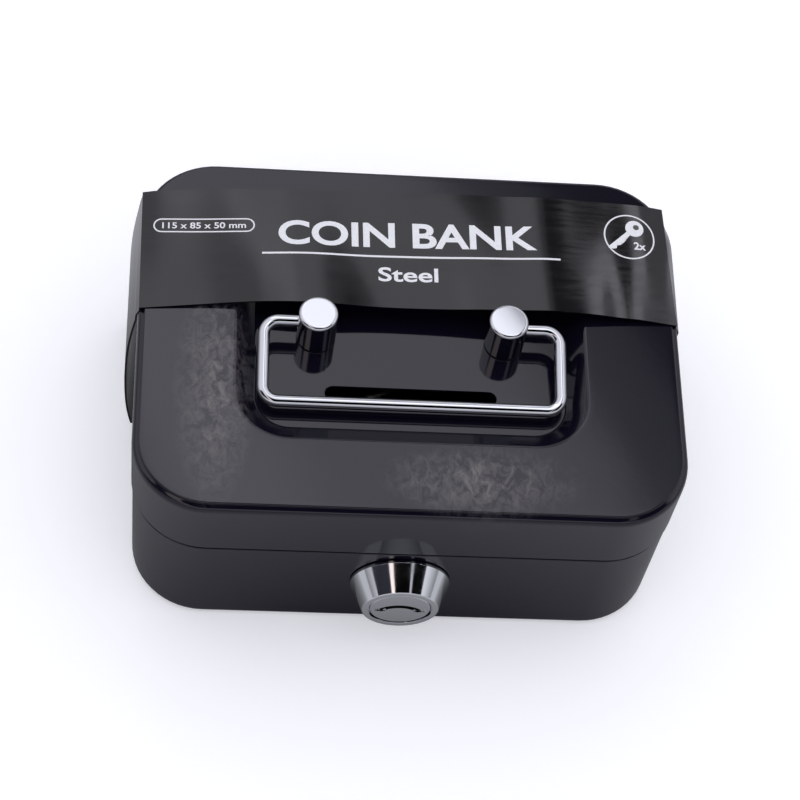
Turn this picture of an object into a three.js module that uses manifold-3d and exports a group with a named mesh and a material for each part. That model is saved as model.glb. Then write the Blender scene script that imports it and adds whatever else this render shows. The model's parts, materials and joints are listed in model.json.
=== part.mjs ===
// Mini cash box with a coin slot, a chrome bail handle on two posts, a cam lock and a card sleeve.
// Millimetres, +Z up. Origin: middle of the base's underside. X to the right, Y to the rear.
import * as THREE from 'three';
import { mergeVertices } from 'three/addons/utils/BufferGeometryUtils.js';
import Module from 'manifold-3d';

const wasm = await Module();
wasm.setup();

// ---------------------------------------------------------------- driving dimensions
const seat = 0.2;        // gap left under a piece that rests on another
const running = 0.3;     // gap round a piece that turns, slides or passes through another
const sheet = 0.8;       // thickness of the pressed steel

const box = { width: 115, depth: 85, height: 50, corner: 16 };
const base = { inset: 0.25, footRadius: 4, neckHeight: 9, shoulder: 0.7 };
const lid = { skirt: 17.7, neckGap: 0.7, panelInset: 1.3, panelStep: 0.8, shoulder: 1.6, shoulderRun: 1 };
const recess = { sideMargin: 20.1, endMargin: 16.5, drop: 3.5, slope: 4.9, corner: 12 };
const slot = { length: 36, width: 3.2, fromWall: 8.5 };
const post = { spacing: 40, y: 1.2, radius: 4.2, height: 9.2, bevel: 0.7, boreDepth: 5.8 };
const bail = { wire: 2.6, width: 62.4, reach: 17.8, sag: 2.9, bend: 3.2, pivot: 5.6 };
const screw = { radius: 1.5, reach: 3.2, headRadius: 2.8, headHeight: 1.7, cross: 0.7 };
const washer = { radius: 3.6, thickness: 0.5 };
const lock = {
  z: 19, collarRadius: 10.65, faceRadius: 8.1, collar: 6.4, bodyRadius: 7.5, flats: 13.4,
  length: 21, headRadius: 6.5, headDepth: 1.6, plugRadius: 5.6, nutAcross: 19, nutThickness: 3,
};
const keyway = { halfWidth: 4.4, rise: 2.2, thickness: 1.3, depth: 17 };
const wafer = { count: 4, first: 3.6, pitch: 3, thickness: 0.8, halfWidth: 5.2, halfHeight: 2.6 };
const cam = { thickness: 1.4, arm: 14.5, width: 6, finger: 8.5, hook: 3, square: 5 };
const stop = { radius: 7, thickness: 0.8 };
const camScrew = { radius: 1.6, depth: 4.4, headRadius: 3.4, headHeight: 1.6 };
const catchPlate = { width: 6, flange: 8, lip: 3.4, rise: 1.2 };
const hinge = { length: 60, knuckles: 5, barrel: 1.7, pin: 0.8, leaf: 0.8, baseLeaf: 11, lidLeaf: 10 };
const key = { thickness: 1.5, bow: 8.5, hole: 1.9, blade: 21, bladeThickness: 0.8, cut: 1.2 };
const sleeve = {
  width: 29.2, front: 5.7, card: 0.5, clear: 0.35, bulge: 2.2, crease: 0.8, bow: 2.2, lift: 1,
};

// ---------------------------------------------------------------- derived places
const halfX = box.width / 2;
const halfY = box.depth / 2;
const seamZ = box.height - lid.skirt;                       // bottom of the lid's skirt
const neckInset = sheet + lid.neckGap;                      // outside of the base's neck
const neckTop = seamZ + base.neckHeight;
const floorZ = box.height - recess.drop;                    // floor of the lid's recess
const wellX = halfX - recess.sideMargin;                    // half sizes of the recess's mouth
const wellY = halfY - recess.endMargin;
const slotY = slot.fromWall + recess.slope - wellY;         // middle of the coin slot
const pivotZ = floorZ + bail.pivot;
const postX = post.spacing / 2;
const wallY = -(halfY - base.inset);                        // outside of the front wall
const lockBack = wallY - running - lock.collar + lock.length;
const frontFace = lockBack - lock.length;                   // front of the lock
const stopY = lockBack + running;
const camY = stopY + stop.thickness + running;
const camScrewY = camY + cam.thickness + seat;
const hingeY = halfY + running + hinge.barrel;
const hingeZ = seamZ;

// ---------------------------------------------------------------- materials
function finish(color, roughness, metalness) {
  return new THREE.MeshStandardMaterial({ color, roughness, metalness });
}

const enamel = finish('#2f2e33', 0.25, 0);
const chrome = finish('#d9dadd', 0.08, 1);
const zinc = finish('#a9acae', 0.35, 1);
const brass = finish('#b99a52', 0.3, 1);
const nickel = finish('#c4c2bb', 0.2, 1);
const card = finish('#26252a', 0.55, 0);

const group = new THREE.Group();

// ---------------------------------------------------------------- solids
// A closed geometry as a solid whose faces point out.
function solid(geometry) {
  const bare = geometry.clone();
  bare.deleteAttribute('normal');
  bare.deleteAttribute('uv');
  const merged = mergeVertices(bare, 1e-4);
  const points = merged.getAttribute('position');
  const triangles = [];
  let volume = 0;
  const [a, b, c] = [new THREE.Vector3(), new THREE.Vector3(), new THREE.Vector3()];
  for (let i = 0; i < merged.index.count; i += 3) {
    const corners = [0, 1, 2].map((k) => merged.index.getX(i + k));
    if (new Set(corners).size < 3) continue;
    triangles.push(corners);
    [a, b, c].forEach((v, k) => v.fromBufferAttribute(points, corners[k]));
    volume += a.dot(b.cross(c));
  }
  const outward = volume > 0 ? triangles : triangles.map(([p, q, r]) => [p, r, q]);
  return new wasm.Manifold(new wasm.Mesh({
    numProp: 3,
    vertProperties: new Float32Array(points.array),
    triVerts: new Uint32Array(outward.flat()),
  }));
}

// Adds one named piece to the object.
function piece(name, body, material) {
  const mesh = body.getMesh();
  const geometry = new THREE.BufferGeometry();
  geometry.setAttribute('position', new THREE.BufferAttribute(mesh.vertProperties, 3));
  geometry.setIndex(new THREE.BufferAttribute(mesh.triVerts, 1));
  geometry.computeVertexNormals();
  const part = new THREE.Mesh(geometry, material);
  part.name = name;
  group.add(part);
}

// A box between two opposite corners.
function block([x0, y0, z0], [x1, y1, z1]) {
  const geometry = new THREE.BoxGeometry(x1 - x0, y1 - y0, z1 - z0);
  return solid(geometry.translate((x0 + x1) / 2, (y0 + y1) / 2, (z0 + z1) / 2));
}

// A solid of revolution round Z from a closed profile of [radius, height] points.
function turned(profile, segments) {
  const points = profile.map(([radius, height]) => new THREE.Vector2(radius, height));
  return solid(new THREE.LatheGeometry(points, segments).rotateX(Math.PI / 2));
}

// The profile of a ring, or of a plain disc when the bore is 0.
function ring(bore, radius, low, high) {
  return [[bore, low], [radius, low], [radius, high], [bore, high], [bore, low]];
}

// The same turned solid with its axis laid along Y, its height running to the rear.
const alongY = (body, x, z) => body.rotate([-90, 0, 0]).translate([x, 0, z]);

// The same turned solid with its axis laid along X.
const alongX = (body, y, z) => body.rotate([0, 90, 0]).translate([0, y, z]);

// A flat plate in the XZ plane between two depths.
function plateXZ(shape, front, back) {
  const options = { depth: back - front, bevelEnabled: false, curveSegments: 10 };
  const geometry = new THREE.ExtrudeGeometry(shape, options);
  return solid(geometry.rotateX(Math.PI / 2).translate(0, back, 0));
}

// One rounded rectangle at height z, anticlockwise seen from above.
function outline(x, y, corner, z) {
  const steps = 6;
  const radius = Math.max(corner, 0.5);
  const points = [];
  [[1, 1], [-1, 1], [-1, -1], [1, -1]].forEach(([sx, sy], quarter) => {
    for (let i = 0; i <= steps; i += 1) {
      const angle = (quarter + i / steps) * (Math.PI / 2);
      points.push([
        sx * (x - radius) + radius * Math.cos(angle),
        sy * (y - radius) + radius * Math.sin(angle),
        z,
      ]);
    }
  });
  return points;
}

// The box's own outline moved in by an inset.
const shell = (inset, z) => outline(halfX - inset, halfY - inset, box.corner - inset, z);

// The recess's outline moved in by an inset.
function well(inset, z) {
  return outline(wellX - inset, wellY - inset, recess.corner - inset, z);
}

// A closed skin through rings of equal count, capped flat at the first and the last ring.
function loft(rings) {
  const count = rings[0].length;
  const index = [];
  const last = (rings.length - 1) * count;
  for (let i = 0; i < count; i += 1) {
    const next = (i + 1) % count;
    for (let row = 0; row < last; row += count) {
      index.push(row + i, row + next, row + count + next);
      index.push(row + i, row + count + next, row + count + i);
    }
    if (i > 0 && next > 0) index.push(0, next, i, last, last + i, last + next);
  }
  const geometry = new THREE.BufferGeometry();
  geometry.setAttribute('position', new THREE.Float32BufferAttribute(rings.flat(2), 3));
  geometry.setIndex(index);
  return solid(geometry);
}

// Quarter-round steps: [share moved along the first side, share moved along the second].
function quarter(steps) {
  return Array.from({ length: steps + 1 }, (_, i) => {
    const angle = (i / steps) * (Math.PI / 2);
    return [1 - Math.sin(angle), 1 - Math.cos(angle)];
  });
}

// ---------------------------------------------------------------- base and lid
// Lock barrel section with two flats, so that the lock can't turn in the wall.
function lockBody(extra, front, back) {
  const round = alongY(turned(ring(0, lock.bodyRadius + extra, front, back), 32), 0, lock.z);
  const half = lock.flats / 2 + extra;
  return round.intersect(block([-halfX, front - 1, lock.z - half], [halfX, back + 1, lock.z + half]));
}

function baseShell() {
  const innerFoot = base.footRadius - sheet;
  const foot = (inset, radius, bottom) => quarter(4)
    .map(([across, up]) => shell(inset + radius * across, bottom + radius * up));
  const shoulderZ = seamZ - base.shoulder;
  const body = loft([
    ...foot(base.inset, base.footRadius, 0),
    shell(base.inset, shoulderZ),
    shell(neckInset, seamZ - running),
    shell(neckInset, neckTop),
    shell(neckInset + sheet, neckTop),
    shell(neckInset + sheet, seamZ - sheet),
    shell(base.inset + sheet, shoulderZ - sheet),
    ...foot(base.inset + sheet, innerFoot, sheet).reverse(),
  ]);
  return body.subtract(lockBody(running, wallY - 1, wallY + sheet + 1));
}

function lidShell() {
  const top = box.height;
  const shoulderZ = top - lid.panelStep;
  const under = top - sheet;
  const { slope, drop: deep } = recess;
  const wellSteps = [[0, 0], [0.8, 0.12], [slope - 0.3, deep - 0.25], [slope, deep]];
  const body = loft([
    ...wellSteps.map(([inset, drop]) => well(inset - sheet, under - drop)).reverse(),
    shell(lid.panelInset + sheet, under),
    shell(sheet, shoulderZ - lid.shoulder),
    shell(sheet, seamZ),
    shell(0, seamZ),
    ...quarter(3).map(([up, across]) => shell(lid.shoulderRun * across, shoulderZ - lid.shoulder * up)),
    shell(lid.panelInset, shoulderZ),
    shell(lid.panelInset, top - 0.3),
    shell(lid.panelInset + 0.3, top),
    ...wellSteps.map(([inset, drop]) => well(inset, top - drop)),
  ]);
  const slotShape = new THREE.Shape();
  const end = slot.width / 2;
  const straight = slot.length / 2 - end;
  slotShape.absarc(straight, slotY, end, -Math.PI / 2, Math.PI / 2);
  slotShape.absarc(-straight, slotY, end, Math.PI / 2, Math.PI * 1.5);
  const through = { depth: 3 * sheet, bevelEnabled: false, curveSegments: 8 };
  const slotCut = solid(new THREE.ExtrudeGeometry(slotShape, through).translate(0, 0, floorZ - 2 * sheet));
  const hole = turned(ring(0, screw.radius + running, floorZ - 2 * sheet, floorZ + sheet), 20);
  const holes = hole.translate([-postX, post.y, 0]).add(hole.translate([postX, post.y, 0]));
  return body.subtract(slotCut).subtract(holes);
}

// ---------------------------------------------------------------- handle
function postBody(side) {
  const low = floorZ + seat;
  const high = floorZ + post.height;
  const body = turned([
    [0, low], [post.radius, low], [post.radius, high - post.bevel],
    [post.radius - post.bevel * 0.3, high - post.bevel * 0.3], [post.radius - post.bevel, high], [0, high],
  ], 28);
  const screwBore = turned(ring(0, screw.radius + running, low - 1, low + screw.reach + running), 20);
  const socket = ring(0, bail.wire / 2 + running, post.radius - post.boreDepth, post.radius + 1);
  const bore = alongX(turned(socket, 16), 0, pivotZ);
  const placedBore = side < 0 ? bore.mirror([1, 0, 0]) : bore;
  return body.subtract(screwBore).subtract(placedBore).translate([side * postX, post.y, 0]);
}

function postScrew(side) {
  const headTop = floorZ - sheet - seat - washer.thickness - seat;
  const headLow = headTop - screw.headHeight;
  const body = turned([
    [0, headLow], [screw.headRadius * 0.6, headLow], [screw.headRadius, headLow + screw.headHeight * 0.5],
    [screw.headRadius, headTop], [screw.radius, headTop], [screw.radius, floorZ + screw.reach],
    [0, floorZ + screw.reach],
  ], 20);
  const long = screw.headRadius * 0.55;
  const thin = screw.cross / 2;
  const cross = block([-long, -thin, headLow - 1], [long, thin, headLow + 0.9])
    .add(block([-thin, -long, headLow - 1], [thin, long, headLow + 0.9]));
  return body.subtract(cross).translate([side * postX, post.y, 0]);
}

function postWasher(side) {
  const high = floorZ - sheet - seat;
  return turned(ring(screw.radius + running, washer.radius, high - washer.thickness, high), 24)
    .translate([side * postX, post.y, 0]);
}

// U-shaped wire folded down towards the front, its ends turned in to the posts.
function bailWire() {
  const tip = postX + post.radius - post.boreDepth + running;
  const armX = bail.width / 2;
  const barY = post.y - bail.reach;
  const corner = bail.bend;
  const fall = bail.sag / bail.reach;
  const at = (x, y) => new THREE.Vector3(x, y, pivotZ - fall * (post.y - y));
  const path = new THREE.CurvePath();
  const straight = (from, to) => path.add(new THREE.LineCurve3(from, to));
  const bend = (from, elbow, to) => path.add(new THREE.QuadraticBezierCurve3(from, elbow, to));
  straight(at(tip, post.y), at(armX - corner, post.y));
  bend(at(armX - corner, post.y), at(armX, post.y), at(armX, post.y - corner));
  straight(at(armX, post.y - corner), at(armX, barY + corner));
  bend(at(armX, barY + corner), at(armX, barY), at(armX - corner, barY));
  straight(at(armX - corner, barY), at(corner - armX, barY));
  bend(at(corner - armX, barY), at(-armX, barY), at(-armX, barY + corner));
  straight(at(-armX, barY + corner), at(-armX, post.y - corner));
  bend(at(-armX, post.y - corner), at(-armX, post.y), at(corner - armX, post.y));
  straight(at(corner - armX, post.y), at(-tip, post.y));
  const section = new THREE.Shape().absarc(0, 0, bail.wire / 2, 0, Math.PI * 2);
  const options = { steps: 76, curveSegments: 5, bevelEnabled: false, extrudePath: path };
  return solid(new THREE.ExtrudeGeometry(section, options));
}

// ---------------------------------------------------------------- lock
// Crescent-shaped key section, as a plate from front to back.
function crescent(grow, front, back) {
  const halfWidth = keyway.halfWidth + grow;
  const radius = (keyway.halfWidth ** 2 + keyway.rise ** 2) / (2 * keyway.rise);
  const spread = Math.asin(halfWidth / radius);
  const half = keyway.thickness / 2 + grow;
  const middle = keyway.rise / 2 - radius;
  const shape = new THREE.Shape();
  shape.absarc(0, middle, radius + half, Math.PI / 2 - spread, Math.PI / 2 + spread, false);
  shape.absarc(0, middle, radius - half, Math.PI / 2 + spread, Math.PI / 2 - spread, true);
  return plateXZ(shape, front, back);
}

function lockHousing() {
  const collarBack = wallY - running;
  const headBore = lock.headRadius + running;
  const bore = lock.plugRadius + running;
  const step = frontFace + lock.headDepth + running;
  const collar = turned([
    [headBore, frontFace], [lock.faceRadius - 0.3, frontFace], [lock.faceRadius, frontFace + 0.3],
    [lock.collarRadius, collarBack - 0.4], [lock.collarRadius, collarBack], [bore, collarBack],
    [bore, step], [headBore, step], [headBore, frontFace],
  ], 40);
  const barrel = lockBody(0, collarBack - 0.5, lockBack)
    .subtract(alongY(turned(ring(0, bore, collarBack - 1, lockBack + 1), 40), 0, lock.z));
  return alongY(collar, 0, lock.z).add(barrel);
}

const waferY = (i) => frontFace + wafer.first + i * wafer.pitch;

function lockPlug() {
  const face = frontFace + 0.2;
  const headBack = frontFace + lock.headDepth;
  const body = alongY(turned([
    [0, face], [lock.headRadius - 0.2, face], [lock.headRadius, face + 0.2], [lock.headRadius, headBack],
    [lock.plugRadius, headBack], [lock.plugRadius, lockBack], [0, lockBack],
  ], 36), 0, lock.z);
  const half = cam.square / 2;
  const square = block([-half, lockBack - 1, lock.z - half], [half, camY + cam.thickness, lock.z + half]);
  const way = crescent(0, face - 1, face + keyway.depth).translate([0, 0, lock.z]);
  const tapping = ring(0, camScrew.radius + running, camScrewY - camScrew.depth, camScrewY);
  const thread = alongY(turned(tapping, 16), 0, lock.z);
  let plug = body.add(square).subtract(way).subtract(thread);
  for (let i = 0; i < wafer.count; i += 1) {
    const reach = wafer.thickness / 2 + running;
    const high = wafer.halfHeight + running;
    const side = lock.bodyRadius;
    const middle = waferY(i);
    const room = block([-side, middle - reach, lock.z - high], [side, middle + reach, lock.z + high]);
    plug = plug.subtract(room);
  }
  return plug;
}

function lockWafer(i) {
  const front = waferY(i) - wafer.thickness / 2;
  const back = front + wafer.thickness;
  const windowX = keyway.halfWidth + running;
  const windowZ = (keyway.rise + keyway.thickness) / 2 + running / 2;
  const { halfWidth, halfHeight } = wafer;
  return block([-halfWidth, front, lock.z - halfHeight], [halfWidth, back, lock.z + halfHeight])
    .subtract(block([-windowX, front - 1, lock.z - windowZ], [windowX, back + 1, lock.z + windowZ]));
}

function lockNut() {
  const front = wallY + sheet + seat;
  const across = lock.nutAcross / Math.sqrt(3);
  const hexagon = turned(ring(0, across, front, front + lock.nutThickness), 6);
  const bore = turned(ring(0, lock.bodyRadius + running, front - 1, front + lock.nutThickness + 1), 32);
  return alongY(hexagon.subtract(bore), 0, lock.z);
}

// Square hole for the end of the plug, from front to back.
function squareHole(front, back) {
  const half = cam.square / 2 + running;
  return block([-half, front - 1, lock.z - half], [half, back + 1, lock.z + half]);
}

function lockStopWasher() {
  const back = stopY + stop.thickness;
  const disc = alongY(turned(ring(0, stop.radius, stopY, back), 28), 0, lock.z);
  return disc.subtract(squareHole(stopY, back));
}

// Hooked cam, turned to the left: the lock is open. A quarter turn brings the hook over the catch.
function lockCam() {
  const half = cam.width / 2;
  const back = camY + cam.thickness;
  const hub = alongY(turned(ring(0, half + 2, camY, back), 28), 0, lock.z);
  const arm = block([-cam.arm, camY, lock.z - half], [0, back, lock.z + half]);
  const hook = block([-cam.arm, camY, lock.z - half], [-cam.arm + cam.hook, back, lock.z + cam.finger]);
  return hub.add(arm).add(hook).subtract(squareHole(camY, back));
}

function lockCamScrew() {
  const { radius, headRadius, headHeight, depth } = camScrew;
  const tip = camScrewY - depth + running;
  const body = turned([
    [0, tip], [radius, tip], [radius, camScrewY], [headRadius, camScrewY],
    [headRadius, camScrewY + headHeight * 0.5],
    [headRadius * 0.6, camScrewY + headHeight], [0, camScrewY + headHeight],
  ], 20);
  const slotHalf = 0.45;
  const slotCut = block([-headRadius, camScrewY + headHeight - 0.8, lock.z - slotHalf],
    [headRadius, camScrewY + headHeight + 1, lock.z + slotHalf]);
  return alongY(body, 0, lock.z).subtract(slotCut);
}

// Bent plate under the lid's panel. Its lip sits below the cam's hook when the lock is shut.
function lidCatch() {
  const under = box.height - sheet - seat;
  const hookLow = lock.z + cam.arm - cam.hook;
  const lipTop = hookLow - catchPlate.rise;
  const left = cam.width / 2 + 1;
  const right = left + catchPlate.width;
  const legBack = camY - running - 0.4;
  const legFront = legBack - sheet;
  const flange = block([left, legBack - catchPlate.flange, under - sheet], [right, legBack, under]);
  const leg = block([left, legFront, lipTop - sheet], [right, legBack, under]);
  const lip = block([left, legFront, lipTop - sheet], [right, legBack + catchPlate.lip, lipTop]);
  return flange.add(leg).add(lip);
}

// ---------------------------------------------------------------- hinge
// A leaf with its share of the knuckles: the base has the odd ones, the lid the even ones.
function hingeLeaf(isLid) {
  const pitch = hinge.length / hinge.knuckles;
  const front = isLid ? halfY + running : halfY - base.inset + running;
  const low = isLid ? hingeZ : hingeZ - hinge.baseLeaf;
  const high = isLid ? hingeZ + hinge.lidLeaf : hingeZ;
  let leaf = block([-hinge.length / 2, front, low], [hinge.length / 2, front + hinge.leaf, high]);
  for (let i = 0; i < hinge.knuckles; i += 1) {
    const from = -hinge.length / 2 + i * pitch;
    if (i % 2 === (isLid ? 1 : 0)) {
      const knuckle = turned(ring(0, hinge.barrel, from + running / 2, from + pitch - running / 2), 20);
      leaf = leaf.add(alongX(knuckle, hingeY, hingeZ));
    } else {
      const gap = ring(0, hinge.barrel + running, from - running / 2, from + pitch + running / 2);
      leaf = leaf.subtract(alongX(turned(gap, 20), hingeY, hingeZ));
    }
  }
  const bore = turned(ring(0, hinge.pin + running, -hinge.length, hinge.length), 16);
  return leaf.subtract(alongX(bore, hingeY, hingeZ));
}

function hingePin() {
  const end = hinge.length / 2;
  const head = end + running;
  return alongX(turned([
    [0, -end - 0.6], [hinge.pin, -end - 0.6], [hinge.pin, head], [hinge.barrel - 0.2, head],
    [hinge.barrel - 0.2, head + 0.5], [0, head + 0.5],
  ], 16), hingeY, hingeZ);
}

// ---------------------------------------------------------------- keys
// Stamped key lying flat on the floor of the base: round bow, crescent blade with a few cuts.
function keyBody(x, y, turn) {
  const bow = turned(ring(key.hole, key.bow, 0, key.thickness), 28);
  const middle = keyway.rise / 2 + key.bladeThickness / 2;
  const blade = crescent((key.bladeThickness - keyway.thickness) / 2, key.bow - 1, key.bow + key.blade)
    .translate([0, 0, middle]);
  let body = bow.add(blade);
  for (let i = 0; i < wafer.count; i += 1) {
    const at = key.bow + wafer.first + 1 + i * wafer.pitch;
    const deep = keyway.halfWidth - (i % 2 ? 1.4 : 0.9);
    const side = i < 2 ? 1 : -1;
    const past = side * (keyway.halfWidth + 1);
    const low = Math.min(side * deep, past);
    const high = Math.max(side * deep, past);
    body = body.subtract(block([low, at, -1], [high, at + key.cut, key.thickness + keyway.rise + 1]));
  }
  return body.rotate([0, 0, turn]).translate([x, y, sheet + seat]);
}

// ---------------------------------------------------------------- sleeve
// Card band over the lid and down both sides: a thin strip of constant section along Y.
function sleeveBand() {
  const outerX = halfX + sleeve.clear + sleeve.card;
  const creaseZ = box.height + sleeve.crease;
  const side = 8;
  const top = 16;
  const middle = [];
  for (let i = 0; i <= side; i += 1) {
    const share = i / side;
    const bulge = sleeve.bulge * Math.sin(Math.PI * share) ** 0.8;
    middle.push([outerX + bulge, sleeve.lift + share * (creaseZ - sleeve.lift)]);
  }
  for (let i = 1; i < top; i += 1) {
    const share = 1 - (2 * i) / top;
    middle.push([outerX * share, creaseZ + sleeve.bow * (1 - Math.abs(share) ** 2.5)]);
  }
  for (let i = side; i >= 0; i -= 1) middle.push([-middle[i][0], middle[i][1]]);
  const inner = middle.map(([x, z], i) => {
    const before = middle[Math.max(i - 1, 0)];
    const after = middle[Math.min(i + 1, middle.length - 1)];
    const run = Math.hypot(after[0] - before[0], after[1] - before[1]);
    const move = sleeve.card / run;
    return [x - move * (after[1] - before[1]), z + move * (after[0] - before[0])];
  });
  const shape = new THREE.Shape([...middle, ...inner.reverse()].map(([x, z]) => new THREE.Vector2(x, z)));
  return plateXZ(shape, sleeve.front, sleeve.front + sleeve.width);
}

// ---------------------------------------------------------------- assembly
piece('base_shell', baseShell(), enamel);
piece('lid_shell', lidShell(), enamel);
piece('base_hinge_leaf', hingeLeaf(false), enamel);
piece('lid_hinge_leaf', hingeLeaf(true), enamel);
piece('hinge_pin', hingePin(), zinc);
for (const [side, word] of [[-1, 'left'], [1, 'right']]) {
  piece(`post_${word}`, postBody(side), chrome);
  piece(`post_screw_${word}`, postScrew(side), zinc);
  piece(`post_washer_${word}`, postWasher(side), zinc);
}
piece('bail_handle', bailWire(), chrome);
piece('lock_housing', lockHousing(), chrome);
piece('lock_nut', lockNut(), zinc);
piece('lock_plug', lockPlug(), chrome);
for (let i = 0; i < wafer.count; i += 1) piece(`lock_wafer_${i + 1}`, lockWafer(i), brass);
piece('lock_stop_washer', lockStopWasher(), zinc);
piece('lock_cam', lockCam(), zinc);
piece('lock_cam_screw', lockCamScrew(), zinc);
piece('lid_catch', lidCatch(), zinc);
piece('key_1', keyBody(-24, 8, -70), nickel);
piece('key_2', keyBody(34, 14, 150), nickel);
piece('sleeve', sleeveBand(), card);

export default group;
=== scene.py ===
"""Looks of the mini cash box: pressed steel in gloss black enamel, chrome handle and lock, card sleeve.

Sizes are in millimetres and become metres where a mesh is made. +X right, +Y to the rear, +Z up.
"""

import json
import math

import bmesh
import bpy
from mathutils import Matrix, Vector
from mathutils.geometry import tessellate_polygon


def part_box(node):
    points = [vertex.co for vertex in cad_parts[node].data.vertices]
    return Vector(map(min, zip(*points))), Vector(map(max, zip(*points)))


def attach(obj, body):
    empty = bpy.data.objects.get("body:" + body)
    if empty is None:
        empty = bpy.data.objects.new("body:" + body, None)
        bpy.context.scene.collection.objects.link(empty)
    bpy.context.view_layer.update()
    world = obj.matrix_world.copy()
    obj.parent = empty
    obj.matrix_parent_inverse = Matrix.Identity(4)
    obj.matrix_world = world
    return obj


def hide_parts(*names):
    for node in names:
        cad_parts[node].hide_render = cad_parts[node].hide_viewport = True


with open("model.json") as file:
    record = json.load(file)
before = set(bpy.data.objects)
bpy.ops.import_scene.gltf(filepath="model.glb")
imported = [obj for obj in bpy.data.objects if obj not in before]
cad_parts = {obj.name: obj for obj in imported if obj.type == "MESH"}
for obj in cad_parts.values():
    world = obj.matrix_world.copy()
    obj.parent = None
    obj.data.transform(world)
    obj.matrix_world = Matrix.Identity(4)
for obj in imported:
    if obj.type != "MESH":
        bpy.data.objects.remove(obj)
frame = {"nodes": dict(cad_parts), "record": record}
bpy.context.view_layer.update()

MM = 0.001


# ---------------------------------------------------------------- sizes
def span(node):
    """Lowest and highest corner of a CAD node, in millimetres."""
    low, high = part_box(node)
    return low / MM, high / MM


LID_LOW, LID_HIGH = span("lid_shell")
TRAY_LOW, TRAY_HIGH = span("base_shell")
POST_LOW, POST_HIGH = span("post_right")
BAIL_LOW, BAIL_HIGH = span("bail_handle")
LOCK_LOW, LOCK_HIGH = span("lock_housing")

SHEET = 0.8
CORNER = 16
HALF_X, HALF_Y = LID_HIGH.x, LID_HIGH.y
SEAM_Z, TOP_Z = LID_LOW.z, LID_HIGH.z
# How far in from the box's outline the tray's neck and the lid's raised panel stand.
NECK, PANEL = 1.5, 1.3
# The shoulder between skirt and panel: its top, how far it comes in, and its depth.
LEDGE_Z, SHOULDER_IN, SHOULDER_DEEP = TOP_Z - 0.8, 1.0, 1.6
WELL_X, WELL_Y, WELL_CORNER = HALF_X - 20.1, HALF_Y - 16.5, 12
WELL_DROP, WELL_SLOPE = 3.5, 4.9
FLOOR_Z = TOP_Z - WELL_DROP
SLOT_LENGTH, SLOT_WIDTH, SLOT_Y = 36, 3.2, 8.5 + WELL_SLOPE - WELL_Y

POST_X = (POST_LOW.x + POST_HIGH.x) / 2
POST_Y = (POST_LOW.y + POST_HIGH.y) / 2
POST_R = (POST_HIGH.x - POST_LOW.x) / 2
JOINTS = {joint["name"]: joint for joint in frame["record"]["behaviour"]["joints"]}
PIVOT_Y, PIVOT_Z = [value / MM for value in JOINTS["bail_swing"]["pos_m"][1:]]
WIRE = BAIL_HIGH.z - PIVOT_Z
LOCK_Z = (LOCK_LOW.z + LOCK_HIGH.z) / 2
LOCK_FACE, LOCK_BACK = LOCK_LOW.y, LOCK_HIGH.y
WALL_Y = TRAY_LOW.y
POST_BORE_DEPTH = 5.8
BARREL_R = 7.5


# ---------------------------------------------------------------- lines and outlines
def fillet(points, radii, steps=5, closed=False):
    """The same line with each corner rounded by its own radius. radii may be one number."""
    count = len(points)
    radii = [radii] * count if isinstance(radii, (int, float)) else radii
    made = []
    for i, (point, radius) in enumerate(zip(points, radii)):
        here = Vector(point)
        if radius <= 0 or (not closed and i in (0, count - 1)):
            made.append(tuple(here))
            continue
        before, after = Vector(points[i - 1]) - here, Vector(points[(i + 1) % count]) - here
        turn = before.angle(after)
        reach = min(radius / math.tan(turn / 2), before.length * 0.49, after.length * 0.49)
        start, end = here + before.normalized() * reach, here + after.normalized() * reach
        middle = (before.normalized() + after.normalized()).normalized()
        centre = here + middle * (reach / math.cos(turn / 2))
        a, b = start - centre, end - centre
        sweep = a.angle_signed(b)
        for k in range(steps + 1):
            share = sweep * k / steps
            c, s = math.cos(share), math.sin(share)
            made.append((centre.x + a.x * c + a.y * s, centre.y - a.x * s + a.y * c))
    return made


def rounded_box(x, y, corner, z, steps=14):
    """A ring of points round a rectangle with round corners, at height z."""
    ring = []
    for quarter, (sx, sy) in enumerate([(1, 1), (-1, 1), (-1, -1), (1, -1)]):
        for i in range(steps + 1):
            angle = (quarter + i / steps) * math.pi / 2
            ring.append((
                sx * (x - corner) + corner * math.cos(angle),
                sy * (y - corner) + corner * math.sin(angle),
                z,
            ))
    return ring


def shell(inset, z):
    """The box's own outline, moved in."""
    return rounded_box(HALF_X - inset, HALF_Y - inset, CORNER - inset, z)


def well(inset, z):
    """The outline of the recess's mouth, moved in."""
    return rounded_box(WELL_X - inset, WELL_Y - inset, WELL_CORNER - inset, z)


def stadium(length, width, steps=10):
    """A slot's outline, round at both ends."""
    end = width / 2
    run = length / 2 - end
    right = [(-math.pi / 2 + math.pi * k / steps) for k in range(steps + 1)]
    points = [(run + end * math.cos(a), end * math.sin(a)) for a in right]
    return points + [(-x, -y) for x, y in points]


def circle(radius, steps, x=0.0, y=0.0):
    """A circle's points."""
    angles = [math.tau * k / steps for k in range(steps)]
    return [(x + radius * math.cos(a), y + radius * math.sin(a)) for a in angles]


def moved_in(points, distance):
    """A closed outline moved in by a small distance."""
    area = sum(a[0] * b[1] - b[0] * a[1] for a, b in zip(points, points[1:] + points[:1]))
    side = 1 if area > 0 else -1
    made = []
    for i, point in enumerate(points):
        here = Vector(point)
        a = (here - Vector(points[i - 1])).normalized()
        b = (Vector(points[(i + 1) % len(points)]) - here).normalized()
        normal = Vector((-(a.y + b.y), a.x + b.x))
        if normal.length < 1e-6:
            normal = Vector((-a.y, a.x))
        normal.normalize()
        lean = max(normal.dot(Vector((-a.y, a.x))), 0.5)
        made.append(tuple(here + normal * (side * distance / lean)))
    return made


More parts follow.
